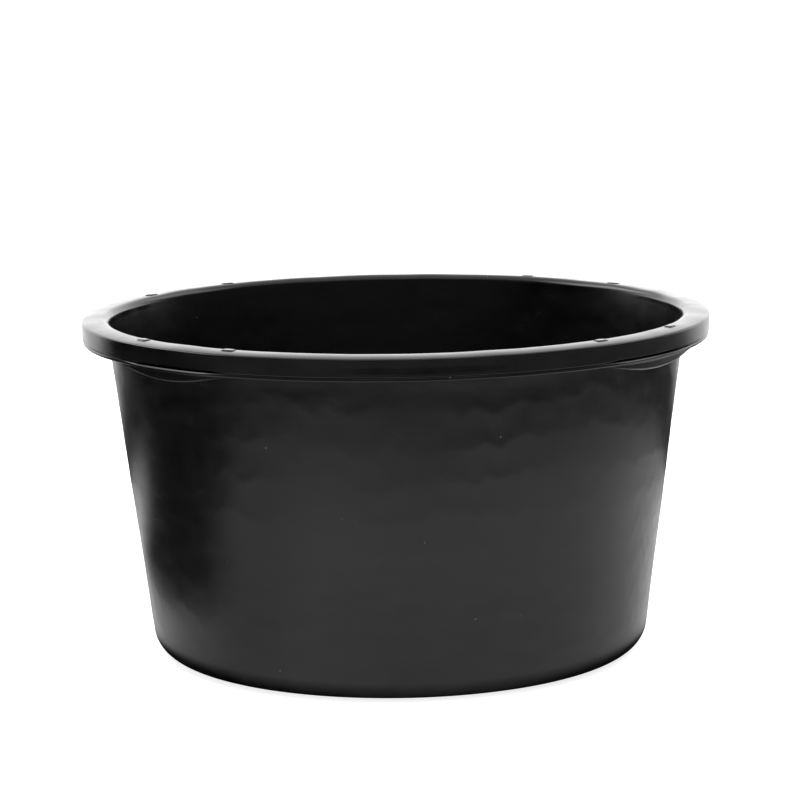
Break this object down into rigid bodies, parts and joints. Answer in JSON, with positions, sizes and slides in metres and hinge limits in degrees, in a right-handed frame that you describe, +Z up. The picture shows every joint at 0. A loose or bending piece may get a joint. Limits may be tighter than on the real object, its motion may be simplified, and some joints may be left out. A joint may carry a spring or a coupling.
{
  "type": "mortar mixing tub",
  "caption": "Round tapered tub for mixing mortar, with a crowned rim, a hemmed skirt, crescent grips under the rim and raised stacking nubs.",
  "frame": {"origin": "on the ground under the centre of the tub, at the middle of the foot ring", "axes": "+Z up along the tub's axis; the plain label panel on the skirt faces -Y and the two front grips lie either side of it"},
  "size_m": [0.6, 0.6, 0.3271],
  "materials": {
    "polyethylene": "black regrind polyethylene, satin, with faint flow marks on the wall"
  },
  "bodies": {
    "root": {"floor_panel": "polyethylene", "gate_boss": "polyethylene", "foot_ring": "polyethylene", "side_wall": "polyethylene", "shoulder_band": "polyethylene", "rim_top": "polyethylene", "rim_skirt": "polyethylene", "hem_bead": "polyethylene", "label_panel": "polyethylene", "grip_gusset_front_left": "polyethylene", "grip_gusset_front_right": "polyethylene", "grip_gusset_rear_left": "polyethylene", "grip_gusset_rear_right": "polyethylene", "stacking_nub_1": "polyethylene", "stacking_nub_2": "polyethylene", "stacking_nub_3": "polyethylene", "stacking_nub_4": "polyethylene", "stacking_nub_5": "polyethylene", "stacking_nub_6": "polyethylene", "stacking_nub_7": "polyethylene", "stacking_nub_8": "polyethylene", "rim_rib_1": "polyethylene", "rim_rib_2": "polyethylene", "rim_rib_3": "polyethylene", "rim_rib_4": "polyethylene", "rim_rib_5": "polyethylene", "rim_rib_6": "polyethylene", "rim_rib_7": "polyethylene", "rim_rib_8": "polyethylene", "rim_rib_9": "polyethylene", "rim_rib_10": "polyethylene", "rim_rib_11": "polyethylene", "rim_rib_12": "polyethylene", "rim_rib_13": "polyethylene", "rim_rib_14": "polyethylene", "rim_rib_15": "polyethylene", "rim_rib_16": "polyethylene"}
  },
  "joints": []
}
